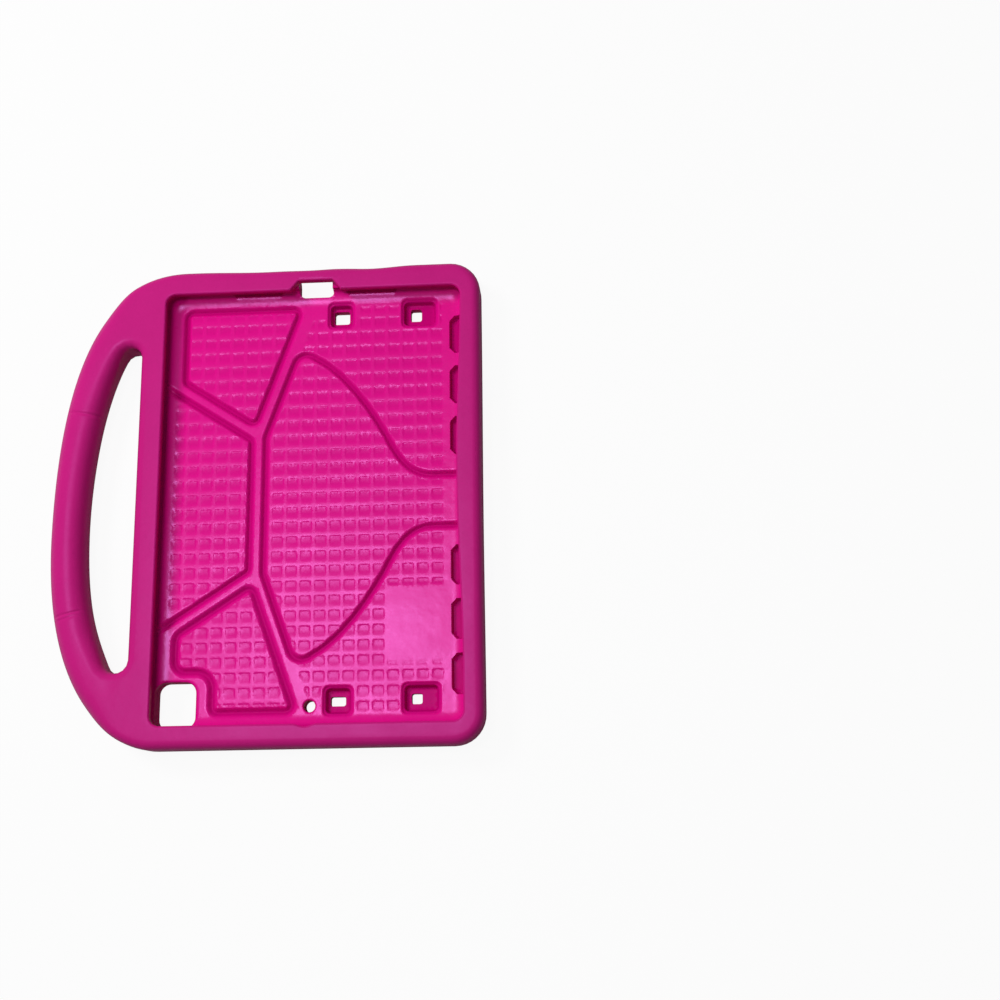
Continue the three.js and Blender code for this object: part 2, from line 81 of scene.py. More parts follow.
# Points round such a box, anticlockwise: even places on each side and an even arc at each corner
def boxRing(x, y, halfX, halfY, r, onSide=3, onCorner=4):
    a = np.radians(np.arange(onCorner + 1) * 90 / onCorner)
    arc = np.stack([np.cos(a), np.sin(a)], 1) * r
    t = (np.arange(onSide) + 1) / (onSide + 1) * 2 - 1
    bx, by = halfX - r, halfY - r
    turned = [arc, arc[:, ::-1] * (-1, 1), -arc, arc[:, ::-1] * (1, -1)]
    corners = [(bx, by), (-bx, by), (-bx, -by), (bx, -by)]
    sides = [np.stack([-t * bx, t * 0 + halfY], 1), np.stack([t * 0 - halfX, -t * by], 1),
             np.stack([t * bx, t * 0 - halfY], 1), np.stack([t * 0 + halfX, t * by], 1)]
    parts = [part for k in range(4) for part in (turned[k] + corners[k], sides[k])]
    return np.concatenate(parts) + (x, y)


# Cubic curve through four control points, n points
def bezier(a, b, c, d, n):
    t = np.linspace(0, 1, n)[:, None]
    a, b, c, d = map(np.array, (a, b, c, d))
    return a * (1 - t) ** 3 + 3 * b * t * (1 - t) ** 2 + 3 * c * t * t * (1 - t) + d * t ** 3


# Corner points (x, y, r), each replaced by an arc of radius r that touches both its sides
def rounded(corners, closed=True):
    count = len(corners)
    line = []
    for i, (x, y, r) in enumerate(corners):
        here = np.array([x, y])
        if r == 0 or (not closed and i in (0, count - 1)):
            line.append(here[None])
            continue
        back = np.array(corners[i - 1][:2]) - here
        onward = np.array(corners[(i + 1) % count][:2]) - here
        back, onward = back / np.hypot(*back), onward / np.hypot(*onward)
        half = math.acos(np.clip(back @ onward, -1, 1)) / 2
        centre = here + (back + onward) / np.hypot(*(back + onward)) * r / math.sin(half)
        start = here + back * r / math.tan(half) - centre
        turn = np.sign(onward[0] * back[1] - onward[1] * back[0]) * (math.pi - 2 * half)
        a = math.atan2(start[1], start[0]) + np.linspace(0, turn, 9)
        line.append(centre + r * np.stack([np.cos(a), np.sin(a)], 1))
    return np.concatenate(line)


# The same corners mirrored across the X axis, in the order that carries the line on
def flipped(corners):
    return [(x, -y, r) for x, y, r in corners[::-1]]


# A line with the run from its start to each of its points; a closed one comes back to its start
def measured(line, closed):
    line = np.concatenate([line, line[:1]]) if closed else line
    return line, np.concatenate([[0], np.cumsum(np.hypot(*np.diff(line, axis=0).T))])


# Even runs along a line, about one step apart
def evenRuns(line, closed, step):
    total = measured(line, closed)[1][-1]
    return np.linspace(0, total, round(total / step), endpoint=not closed)


# Place and unit normal, to the right of the line, at the given runs along it
def along(line, runs, closed):
    line, run = measured(line, closed)

    def place(at):
        at = at % run[-1] if closed else np.clip(at, 0, run[-1])
        return np.stack([np.interp(at, run, line[:, 0]), np.interp(at, run, line[:, 1])], 1)

    ahead = place(runs + 0.4) - place(runs - 0.4)
    ahead /= np.hypot(ahead[:, 0], ahead[:, 1])[:, None]
    return place(runs), np.stack([ahead[:, 1], -ahead[:, 0]], 1)


# Least distance from points to the stretches of a line
def lineDistance(p, line, closed=False):
    line = np.concatenate([line, line[:1]]) if closed else line
    a, run = line[:-1], np.diff(line, axis=0)
    keep = np.hypot(run[:, 0], run[:, 1]) > 1e-6
    a, run = a[keep], run[keep]
    found = []
    for part in np.array_split(p, max(1, len(p) // 4000)):
        off = part[:, None] - a
        share = np.clip((off * run).sum(2) / (run * run).sum(1), 0, 1)
        off -= share[..., None] * run
        found.append(np.hypot(off[..., 0], off[..., 1]).min(1))
    return np.concatenate(found)


# Even-odd test: how many of the loops' edges a ray to the right crosses
def insideLoops(p, loops):
    a = np.concatenate(loops)
    b = np.concatenate([np.roll(loop, -1, 0) for loop in loops])
    found = []
    for part in np.array_split(p, max(1, len(p) // 8000)):
        x, y = part[:, :1], part[:, 1:]
        spans = (a[:, 1] > y) != (b[:, 1] > y)
        with np.errstate(divide="ignore", invalid="ignore"):
            meets = (b[:, 0] - a[:, 0]) * (y - a[:, 1]) / (b[:, 1] - a[:, 1]) + a[:, 0]
        found.append((spans & (x < meets)).sum(1) % 2 == 1)
    return np.concatenate(found)


# A straight line as a point and a direction, moved aside to the left
def ray(point, degrees, aside=0):
    d = np.array([math.cos(math.radians(degrees)), math.sin(math.radians(degrees))])
    return np.array(point) + aside * np.array([-d[1], d[0]]), d


# Where two straight lines meet, as a corner of radius r: cross products give the way along the first
def crossing(first, second, r):
    (p, d), (q, e) = first, second
    gap = q - p
    found = p + d * (gap[0] * e[1] - gap[1] * e[0]) / (d[0] * e[1] - d[1] * e[0])
    return (*found, r)


# The smooth bands: a trunk along the tablet and two arms at each end, mirrored up and down
tree = {
    "x": -31.4, "fork": 40, "band": 8.2, "corner": 3.5,
    "steep": 70, "flat": 33, "steepArm": 88, "flatArm": 72,  # the arms' slopes, then their lengths
    "side": 3, "end": 0.6,                                   # from the floor's edges
    "tipFromEnd": 23, "tipRadius": 6, "tipLower": 9.2,
}
fish = {
    "crest": (-8.7, 25, -32, 7, 16),     # x, from the end, slope, radius, pull
    "waist": (35, 35.2, -63, 20, 11.5),  # from the side, y, slope, pull before and after
    "outlet": (10, 14.6, 13),            # from the side, y, pull
}
window = {"x": -73.85, "y": -111.35, "halfX": 11.25, "halfY": 12.7, "r": 6, "band": 8.8,
          "dish": (1.1, -0.9, 1.3)}      # depth of its dished edge, from and to

bandHalf = tree["band"] / 2
fork = (tree["x"], tree["fork"])
side = ray((tree["side"] - floorX, 0), 90)
end = ray((0, floorY - tree["end"]), 0)
wall = ray((-room["wallX"], 0), 90)
spineLeft = ray((tree["x"], 0), 90, bandHalf)
spineRight = ray((tree["x"], 0), 90, -bandHalf)
steepLeft = ray(fork, tree["steep"], bandHalf)
steepRight = ray(fork, tree["steep"], -bandHalf)
flatAbove = ray(fork, 180 - tree["flat"], -bandHalf)
flatBelow = ray(fork, 180 - tree["flat"], bandHalf)


# The widest field: straight beside the spine, then falling from its crest in two curves
def fishLine():
    crestX, fromEnd, slope, radius, pull = fish["crest"]
    fromSide, waistY, steep, pullUp, pullDown = fish["waist"]
    outX, outY, outPull = fish["outlet"]
    fall = ray((crestX, floorY - fromEnd), slope)
    narrow = ray((floorX - fromSide, waistY), steep)
    last = np.array([floorX - outX, outY])
    corners = [(*spineRight[0], 0), crossing(spineRight, steepRight, tree["corner"]),
               crossing(steepRight, fall, radius), (*(fall[0] + fall[1] * pull), 0)]
    upper = np.concatenate([
        rounded(corners, False)[1:-1],
        bezier(fall[0] + fall[1] * pull, fall[0] + fall[1] * 2 * pull,
               narrow[0] - narrow[1] * pullUp, narrow[0], 24),
        bezier(narrow[0], narrow[0] + narrow[1] * pullDown, last - (outPull, 0), last, 18)[1:],
        [[floorX + room["marginWidth"] * 0.9, outY]],
    ])
    return np.concatenate([upper[::-1] * (1, -1), upper])


# The four grooves along the bands' edges: rounded corners where the straight lines cross.
# Each is a line, whether it closes, and how wide it is against a plain groove
def treeGrooves():
    c = tree["corner"]
    top = rounded([crossing(steepLeft, flatAbove, c), crossing(steepLeft, end, c),
                   crossing(side, end, c), crossing(side, flatAbove, c)])
    upper = [crossing(spineLeft, flatBelow, c), crossing(wall, flatBelow, 0)]
    left = rounded(flipped(upper) + upper, False)
    turn = window["x"] + window["halfX"] + window["band"]
    tipY = tree["tipFromEnd"] - floorY
    lower = [crossing(steepLeft, end, c), crossing(steepLeft, flatAbove, c),
             crossing(side, flatAbove, tree["tipRadius"])]
    bottom = rounded([(x, -y, r) for x, y, r in lower] + [
        (side[0][0], tipY, tree["tipRadius"]), (turn, tipY, tree["tipLower"]),
        (turn, tree["end"] - floorY, c)])
    return [(top, True, 1.0), (left, False, 1.0), (bottom, True, 1.2), (fishLine(), False, 1.0)]


grooveLines = treeGrooves()
treeLines = [np.array([(tree["x"], -tree["fork"]), (tree["x"], tree["fork"])])]
for degrees, reach in ((tree["steep"], tree["steepArm"]), (180 - tree["flat"], tree["flatArm"])):
    a = math.radians(degrees)
    tipPoint = np.array([fork[0] + reach * math.cos(a), fork[1] + reach * math.sin(a)])
    treeLines += [np.array([fork, tipPoint]), np.array([fork, tipPoint]) * (1, -1)]

groove = {"depth": 1.9, "inner": 0.3, "outer": 2.6, "step": 1.35,
          "across": (0, 0.45, 0.9, 1.35, 1.8, 2.25, 2.7, 3.3)}


# Distance to the nearest groove's middle, in widths of a plain groove
def grooveDistance(p):
    found = [lineDistance(p, line, closed) / wide for line, closed, wide in grooveLines]
    return np.min(found, axis=0)


# Cuts in the wall; "edge" is the run over which the floor drops into one
notch = {"length": 22, "places": (37, 67, 97), "into": 1.2, "sink": 3, "chamfer": 3,
         "edge": (-0.7, 0.3)}
slot = {"inner": 18, "outer": 48, "from": 6.5, "into": 1.5, "slant": 3, "above": 1.5,
        "edge": (-0.5, 0.3)}
turnIn = 0.3  # the wall turns into a cut over this much on either side of the cut's end


# Signed distance to the six notches in the right wall: a strip with its two inner corners cut
def notchDistance(p):
    off = np.min([np.abs(np.abs(p[:, 1]) - at) for at in notch["places"]], axis=0)
    beside = off - notch["length"] / 2
    before = floorX - p[:, 0]
    return np.max([beside, before, (beside + before + notch["chamfer"]) / math.sqrt(2)], axis=0)


# Signed distance to the two slots in the top wall: a strip whose ends slant
def slotDistance(p):
    back = room["wallY"] + slot["into"] - p[:, 1]
    lean = slot["slant"] / (slot["from"] + slot["into"]) * back
    x = np.abs(p[:, 0])
    return np.max([x - slot["outer"] + lean, slot["inner"] + lean - x,
                   room["wallY"] - slot["from"] - p[:, 1]], axis=0)


footPockets = [  # x, y, width, height, then the hole's shift, width and height
    (15, 110.85, 15.5, 16, -0.2, 9.8, 8.6),
    (60.4, 110.85, 21, 17, -2.4, 7.2, 8.2),
    (15.6, -110.35, 16.5, 16.5, -0.6, 9.4, 6),
    (61.1, -109.75, 21.4, 17, -2.9, 6.8, 6.5),
]
footStep = {"width": 1.7, "depth": 1.2, "deep": 4.5, "corner": 3, "tight": 0.4, "edge": (-1.0, 0.5)}
sound = {"x": 0, "y": -112.95, "half": 3.25, "dish": (0.7, 2.6, 4.1)}

pit = {
    "x": 0.65, "y": -1.0, "pitchX": 8.18, "pitchY": 8.375,
    "raise": 2.3,                                 # the top right field's rows sit higher
    "half": 3.05, "corner": 0.35, "rings": (0.55, 0.2, -0.15, -0.45, -1.6),
    "depth": 0.28, "level": 0.3,                  # how much of the depth the upright ridges have
    "left": (-3.3, -2.5), "right": (2.75, 3.35),  # where each slope runs, from the pit's middle
    "lower": (-3.5, 0.5), "upper": (2.8, 3.5),
}
pitEnds = {  # the pits set in between these two distances or places
    "groove": (2.1, 2.8), "band": (1.0, 1.6),
    "right": (73.9, 74.3), "left": (-79.6, -79), "ends": (115.4, 115.9),
    "corners": ((75, 75.4), (60, 61)),
    "pocket": (1.1, 1.8), "window": (8, 9), "sound": (5, 5.8),
}
bare = [(0, room["wallY"], 10.5, 17, 2, 0.7),     # x, y, half sizes, corner and run: at the port
        (60, -68.5, 18.5, 21, 3, 0.8)]            # and the patch at the lower right


# 1 where pits are whole, falling to 0 at grooves, bands, margins, holes and the bare patches
def pitMask(p, groovesAway):
    x, y = p[:, 0], p[:, 1]
    band = np.min([lineDistance(p, line) for line in treeLines], axis=0) - bandHalf
    mask = ease(groovesAway, *pitEnds["groove"]) * ease(band, *pitEnds["band"])
    mask *= (1 - ease(x, *pitEnds["right"])) * ease(x, *pitEnds["left"])
    mask *= 1 - ease(np.abs(y), *pitEnds["ends"])
    beyond, above = pitEnds["corners"]
    mask *= 1 - ease(-x, *beyond) * ease(np.abs(y), *above)
    for px, py, width, height, *_ in footPockets:
        away = boxDistance(p, px, py, width / 2, height / 2, footStep["corner"])
        mask *= ease(away, *pitEnds["pocket"])
    w = window
    away = boxDistance(p, w["x"], w["y"] - 20, w["halfX"], w["halfY"] + 20, w["r"])
    mask *= ease(away, *pitEnds["window"])
    mask *= ease(np.hypot(x - sound["x"], y - sound["y"]), *pitEnds["sound"])
    for bx, by, halfX, halfY, r, run in bare:
        mask *= ease(boxDistance(p, bx, by, halfX, halfY, r), 0, run)
    return mask


# The middle of the cell that each point lies in; the top right field has its own rows
def cellMiddle(p):
    upper = (p[:, 0] > tree["x"]) & (p[:, 1] > 0)
    upper &= ~insideLoops(p, [grooveLines[3][0]]) & ~insideLoops(p, [grooveLines[0][0]])
    start = np.column_stack([p[:, 0] * 0 + pit["x"], pit["y"] + pit["raise"] * upper])
    size = np.array([pit["pitchX"], pit["pitchY"]])
    return (np.floor((p - start) / size) + 0.5) * size + start


# How deep the pits are: each falls gently from its left and lower ridges and ends at steep walls;
# the upright ridges are a little lower than the level ones
def pitSink(p):
    x, y = (p - cellMiddle(p)).T
    across = ease(x, *pit["left"]) * (1 - ease(x, *pit["right"]))
    upward = ease(y, *pit["lower"]) * (1 - ease(y, *pit["upper"]))
    return pit["depth"] * upward * (pit["level"] + (1 - pit["level"]) * across)


# Height of the pocket's floor: flat, curved up by an arc at the margin, less its grooves, pits,
# stepped stand pockets, slots and notches, and dished round the window and the sound hole
def floorHeight(p):
    out = boxDistance(p, 0, 0, floorX, floorY, 1)
    angle = np.arcsin(np.clip(out / room["marginWidth"], 0, 1))
    z = room["floorZ"] + room["marginHeight"] * (1 - np.cos(angle))
    away = grooveDistance(p)
    fade = 1 - ease(out, *room["grooveFade"])
    z -= groove["depth"] * (1 - ease(away, groove["inner"], groove["outer"])) * fade
    z -= pitSink(p) * pitMask(p, away)
    w, r = footStep["width"], footStep["corner"]
    for x, y, width, height, *_ in footPockets:
        for inset, deep in ((0, footStep["depth"]), (w, footStep["deep"])):
            d = boxDistance(p, x, y, width / 2 - inset, height / 2 - inset, r - inset / 2)
            z += (room["floorZ"] - deep - z) * (1 - ease(d, *footStep["edge"]))
    inSlot = 1 - ease(slotDistance(p), *slot["edge"])
    z += (np.minimum(z, room["floorZ"] + slot["above"]) - z) * inSlot
    z += (room["floorZ"] - notch["sink"] - z) * (1 - ease(notchDistance(p), *notch["edge"]))
    fromWindow = boxDistance(p, *(window[key] for key in ("x", "y", "halfX", "halfY", "r")))
    fromSound = np.hypot(p[:, 0] - sound["x"], p[:, 1] - sound["y"])
    for away, (depth, inner, outer) in ((fromWindow, window["dish"]), (fromSound, sound["dish"])):
        z -= depth * (1 - ease(away, inner, outer))
    return z


# Places along a side: even, 1 mm apart as far as fine from its middle, four at each end of a cut
def stops(limit, edges, fine=0):
    edges = np.array(edges)
    even = np.linspace(-limit, limit, round(2 * limit / room["step"]) + 1)
    if fine:
        even = np.concatenate([even[np.abs(even) > fine + 1], np.arange(-fine, fine + 0.1, 1)])
    even = even[np.abs(even[:, None] - edges).min(1) > 3 * turnIn]
    close = (edges[:, None] + np.linspace(-turnIn, turnIn, 4)).ravel()
    return np.sort(np.concatenate([even, close]))


notchEnds = [sign * at + way * notch["length"] / 2
             for sign in (-1, 1) for at in notch["places"] for way in (-1, 1)]
slotEnds = [sign * at for sign in (-1, 1)
            for at in (slot["inner"] + turnIn, slot["outer"] - turnIn)]
rightStops = stops(room["straightY"], notchEnds)
topStops = stops(room["straightX"], slotEnds, 8)


# A loop round the pocket, moved out from the floor's edge: four straight sides and quarter arcs.
# With bow the lip's two dips are taken off, with cut the wall steps out at notches and slots
def roomLoop(out, r, bow=False, cut=False):
    x, y = floorX + out, floorY + out
    a = np.radians(np.linspace(0, 90, 11))
    arc = np.stack([np.cos(a), np.sin(a)], 1) * r
    sides = [np.stack([rightStops * 0 + x, rightStops], 1),
             np.stack([-topStops, topStops * 0 + y], 1),
             np.stack([rightStops * 0 - x, -rightStops], 1),
             np.stack([topStops, topStops * 0 - y], 1)]
    arcs = [arc + (x - r, y - r), arc[:, ::-1] * (-1, 1) + (r - x, y - r),
            -arc + (r - x, r - y), arc[:, ::-1] * (1, -1) + (x - r, r - y)]
    loop = np.concatenate([part for k in range(4) for part in (sides[k], arcs[k])])
    if bow:
        loop[:, 0] -= give(loop[:, 1], *room["bow"]) * ease(loop[:, 0], 60, 80)
        loop[:, 1] -= give(loop[:, 0], *room["dent"]) * (loop[:, 1] < -lipY + 1.5)
    if cut:
        off = np.min([np.abs(np.abs(loop[:, 1]) - at) for at in notch["places"]], axis=0)
        onRight = loop[:, 0] > room["wallX"] - 0.01
        beside = off - notch["length"] / 2
        loop[:, 0] += onRight * notch["into"] * (1 - ease(beside, -turnIn, turnIn))
        across = np.abs(loop[:, 0])
        inside = np.minimum(across - slot["inner"], slot["outer"] - across) - turnIn
        onTop = loop[:, 1] > room["wallY"] - 0.01
        loop[:, 1] += onTop * slot["into"] * ease(inside, -turnIn, turnIn)
    return loop


# A flat loop with a height, or a height for each point, as its third column
def raised(loop, z):
    return np.column_stack([loop, np.broadcast_to(z, len(loop))])


# Faces between rows of equally many points; each row is a closed loop
def strip(rows, flip=False):
    rows = np.array(rows)
    levels, count = rows.shape[:2]
    a = np.arange(count)
    b = (a + 1) % count
    k = np.arange(levels - 1)[:, None] * count
    quads = np.stack([k + a, k + b, k + b + count, k + a + count], 2).reshape(-1, 4)
    faces = np.concatenate([quads[:, [0, 1, 2]], quads[:, [0, 2, 3]]])
    return rows.reshape(-1, 3), faces[:, ::-1] if flip else faces


# One sheet over the region between loops of 3-D points: Delaunay triangles of all its points
def sheet(loops, inner, flip=False):
    flat = [loop[:, :2] for loop in loops]
    points = np.concatenate(loops + ([inner] if len(inner) else []))
    edges, first = [], 0
    for loop in loops:
        a = np.arange(len(loop)) + first
        edges.append(np.stack([a, np.roll(a, -1)], 1))
        first += len(loop)
    edges = np.concatenate(edges).tolist()
    found = geometry.delaunay_2d_cdt(points[:, :2].tolist(), edges, [], 0, 1e-5)
    order = np.array([source[0] for source in found[3]])
    faces = order[np.array(found[2])]
    middle = points[faces].mean(1)[:, :2]
    faces = faces[insideLoops(middle, flat)]
    return points, faces[:, ::-1] if flip else faces


# Hexagonal grid of points: rows 0.866 of the spacing apart, every other one shifted by half
def honeycomb(left, right, bottom, top, spacing):
    x = np.arange(left, right, spacing)
    y = np.arange(bottom, top, spacing * 0.866)
    gx, gy = np.meshgrid(x, y)
    gx = gx + (np.arange(len(y)) % 2)[:, None] * spacing / 2
    return np.stack([gx.ravel(), gy.ravel()], 1)


# The first point of each little square, so that no two are on top of each other
def thinned(groups, size):
    p = np.concatenate(groups)
    key = np.floor(p / size).astype(np.int64)
    _, first = np.unique(key[:, 0] * 100003 + key[:, 1], return_index=True)
    return p[np.sort(first)]


wallLoop = roomLoop(room["marginWidth"], room["wallCorner"], cut=True)


# Rings round the through holes at the floor, and the same rings a little wider for the back
def holeRings(grow):
    w, s = window, sound
    r = s["half"] + grow
    rings = [boxRing(w["x"], w["y"], w["halfX"] + grow, w["halfY"] + grow, w["r"] + grow, 8, 8),
             boxRing(s["x"], s["y"], r, r, r - 0.01, 1, 5)]
    for x, y, width, height, shift, wide, high in footPockets:
        g = grow - footStep["tight"]
        rings.append(boxRing(x + shift, y, wide / 2 + g, high / 2 + g, 1.7 + g, 3, 4))
    return rings


# Points beside every edge of a cut: rings or rows at a few distances d out from it
def cutPoints():
    groups = []
    w, corner = footStep["width"], footStep["corner"]
    for x, y, width, height, *_ in footPockets:
        for d in (1.1, 0.5, 0.1, -0.3, -0.65, -1.0):
            groups.append(boxRing(x, y, width / 2 + d, height / 2 + d, corner + d, 10, 4))
            if d < 1:
                groups.append(boxRing(x, y, width / 2 - w + d, height / 2 - w + d,
                                      corner - w / 2 + d, 9, 4))
    w = window
    for d in (0.35, 0.75, 1.3, 2.2):
        groups.append(boxRing(w["x"], w["y"], w["halfX"] + d, w["halfY"] + d, w["r"] + d, 9, 8))
    for r in (3.6, 3.95, 4.3, 5.2):
        groups.append(boxRing(sound["x"], sound["y"], r, r, r - 0.01, 1, 5))
    for at in notch["places"]:
        for d in (0.75, 0.3, -0.2, -0.7):
            reach, c = notch["length"] / 2 + d, notch["chamfer"]
            run = np.arange(floorX + c, room["wallX"] + 0.6, 1.1)
            rise = np.arange(-reach + c, reach - c + 0.1, 1.0)
            slope = np.linspace(0, c, 5)
            edge = np.concatenate([
                np.stack([run, run * 0 + reach], 1), np.stack([run, run * 0 - reach], 1),
                np.stack([floorX - d + slope * 0.93, reach - c + slope], 1),
                np.stack([floorX - d + slope * 0.93, c - reach - slope], 1),
                np.stack([rise * 0 + floorX - d, rise], 1)])
            groups += [edge + (0, at), edge * (1, -1) - (0, at)]
    lean = slot["slant"] / (slot["from"] + slot["into"])
    back = np.arange(0.6, slot["from"] + slot["into"], 0.8)
    for d in (0.3, -0.1, -0.5):
        for edge in (slot["inner"] + lean * back - d, slot["outer"] - lean * back + d):
            ends = np.stack([edge, room["wallY"] + slot["into"] - back], 1)
            groups += [ends, ends * (-1, 1)]
    return groups


# Middles of the cells in which some corner of the pit still has depth
def pitMiddles():
    gx, gy = np.meshgrid((np.arange(-10, 10) + 0.5) * pit["pitchX"] + pit["x"],
                         (np.arange(-15, 15) + 0.5) * pit["pitchY"] + pit["y"])
    cells = np.stack([gx.ravel(), gy.ravel()], 1)
    cells = np.concatenate([cells, cells + (0, pit["raise"])])
    cells = cells[np.hypot(*(cellMiddle(cells) - cells).T) < 0.01]
    probe = (cells[:, None] + boxRing(0, 0, 2.6, 2.6, 0.5, 1, 1)).reshape(-1, 2)
    strength = pitMask(probe, grooveDistance(probe)).reshape(len(cells), -1)
    cells = cells[strength.max(1) > 0.05]
    print("pits, whole and cut:", len(cells))
    return cells


# Points of the open floor: rows beside each groove and up the margin, rings of each pit and a
# grid, all kept clear of the rows that follow the cuts
def openPoints():
    groups = []
    for line, closed, wide in grooveLines:
        place, normal = along(line, evenRuns(line, closed, groove["step"]), closed)
        for across in groove["across"]:
            for way in ((-1, 1) if across else (1,)):
                groups.append(place + normal * across * way * wide)
    for share in room["marginRows"]:
        out = share * room["marginWidth"]
        groups.append(roomLoop(out, 1 + out))
    cells = pitMiddles()
    for d in pit["rings"]:
        half, r = pit["half"] + d, max(0.12, pit["corner"] + d)
        groups.append((cells[:, None] + boxRing(0, 0, half, half, r, 2, 1)).reshape(-1, 2))
    groups += [cells, honeycomb(-90, 90, -128, 128, 2.9)]
    loose = np.concatenate(groups)
    loose = loose[(np.abs(notchDistance(loose)) > 1) & (np.abs(slotDistance(loose)) > 0.8)]
    for x, y, width, height, *_ in footPockets:
        away = boxDistance(loose, x, y, width / 2 - 0.8, height / 2 - 0.8, 2.2)
        loose = loose[np.abs(away + 0.5) > 2.8]
    return loose


# Keeps the points that are inside the wall and clear of every hole
def floorSheet():
    holes = holeRings(0)
    p = thinned(cutPoints() + [openPoints()], 0.3)
    away = lineDistance(p, wallLoop, True)
    keep = insideLoops(p, [wallLoop]) & (away > 0.33)
    for ring in holes:
        keep &= ~insideLoops(p, [ring]) & (lineDistance(p, ring, True) > 0.25)
    p = p[keep]
    loops = [raised(loop, floorHeight(loop)) for loop in [wallLoop] + holes]
    return loops, sheet(loops, raised(p, floorHeight(p)))


# Rows of a wall: straight up from the floor's edge, in under the lip, up its face, and round its
# upper edge by a quarter circle
def wallRows(bottom):
    rows = [bottom]
    for share in (0.3, 0.65, 1):
        row = bottom.copy()
        row[:, 2] += (room["shelfZ"] - row[:, 2]) * share
        rows.append(row)
    mouth = room["marginWidth"] - room["lipOver"]
    r, c = room["lipRound"], room["lipCorner"]
    for out, up in room["lipEdge"]:
        rows.append(raised(roomLoop(mouth + out, c + out, True), room["shelfZ"] + up))
    for degrees in (0, 22, 45, 68, 90):
        a = math.radians(degrees)
        out = r * (1 - math.cos(a))
        rows.append(raised(roomLoop(mouth + out, c + out, True), rimZ - r * (1 - math.sin(a))))
    return rows


shell = {
    "right": 95.9, "left": -98.6, "top": 137.05, "bottom": -135.55,
    "corner": 17, "edge": 5,
    "bow": (0.3, -10, 110),                                    # the right side: depth, at, reach
    "sags": [(1.2, 33, 26), (0.7, 2, 24), (0.9, -28, 40)],     # the top side's three dips
    "reach": 48.5, "grip": 20.3, "crest": 1.2, "middle": -15.4,
    "topArm": (25.5, 55, 91), "bottomArm": (14.5, 11, 106.5),  # start, level, rise
    "run": 20,                                                 # the edge grows rounder over this run
    "holeMiddle": -10.6,                            # then from end, radius, turn, lean, drop, rise
    "holeTop": (44.3, 6.1, 155, 7.5, 16.3, 43.6), "holeBottom": (41.7, 7.3, 157, 6.2, 16.3, 44.9),
    "step": 3.0, "wave": 0.16,
}


# The whole outline: arcs at the right, the handle's arch of two cubic curves at the left
def outerLine():
    s = shell
    archTop = (s["left"] + s["topArm"][0], s["top"])
    archBottom = (s["left"] + s["bottomArm"][0], s["bottom"])
    gripX = s["left"] - s["reach"]
    a = np.radians(np.linspace(0, 90, 25))
    arc = np.stack([np.cos(a), np.sin(a)], 1) * s["corner"]
    x, top, bottom = s["right"] - s["corner"], s["top"] - s["corner"], s["bottom"] + s["corner"]
    up = np.linspace(bottom, top, 90)[1:-1]
    back = np.linspace(x, archTop[0], 70)[1:-1]
    line = np.concatenate([
        arc[:, ::-1] * (1, -1) + (x, bottom), np.stack([up * 0 + s["right"], up], 1),
        arc + (x, top), np.stack([back, back * 0 + s["top"]], 1),
        bezier(archTop, (archTop[0] - s["topArm"][1], s["top"]),
               (gripX, s["middle"] + s["topArm"][2]), (gripX, s["middle"]), 500),
        bezier((gripX, s["middle"]), (gripX, s["middle"] - s["bottomArm"][2]),
               (archBottom[0] - s["bottomArm"][1], s["bottom"]), archBottom, 500)[1:]])
    near = np.maximum(0, line[:, 0] / s["right"]) ** 8
    nearTop = np.maximum(0, line[:, 1] / s["top"]) ** 8
    sag = sum(give(line[:, 0], *dip) for dip in s["sags"])
    return np.stack([line[:, 0] - give(line[:, 1], *s["bow"]) * near, line[:, 1] - sag * nearTop], 1)


# The opening for the hand: arcs at both ends of the rail, two cubic curves along the grip
def handLine():
    s = shell
    fromTop, topR, topTurn, topLean, drop, rise = s["holeTop"]
    fromBottom, lowR, lowTurn, lowLean, climb, fall = s["holeBottom"]
    middle = (s["left"] - s["reach"] + s["grip"], s["holeMiddle"])
    topCentre = (s["left"] - topR, s["top"] - fromTop - topR)
    lowCentre = (s["left"] - lowR, s["bottom"] + fromBottom + lowR)
    a, b = np.radians(np.linspace(0, topTurn, 18)), np.radians(np.linspace(-lowTurn, 0, 20))
    topArc = np.stack([np.cos(a), np.sin(a)], 1) * topR + topCentre
    lowArc = np.stack([np.cos(b), np.sin(b)], 1) * lowR + lowCentre
    upper, lower = topArc[-1], lowArc[0]
    return np.concatenate([
        topArc,
        bezier(upper, upper - (topLean, drop), (middle[0], middle[1] + rise), middle, 400)[1:],
        bezier(middle, (middle[0], middle[1] - fall), lower + (-lowLean, climb), lower, 400)[1:-1],
        lowArc])


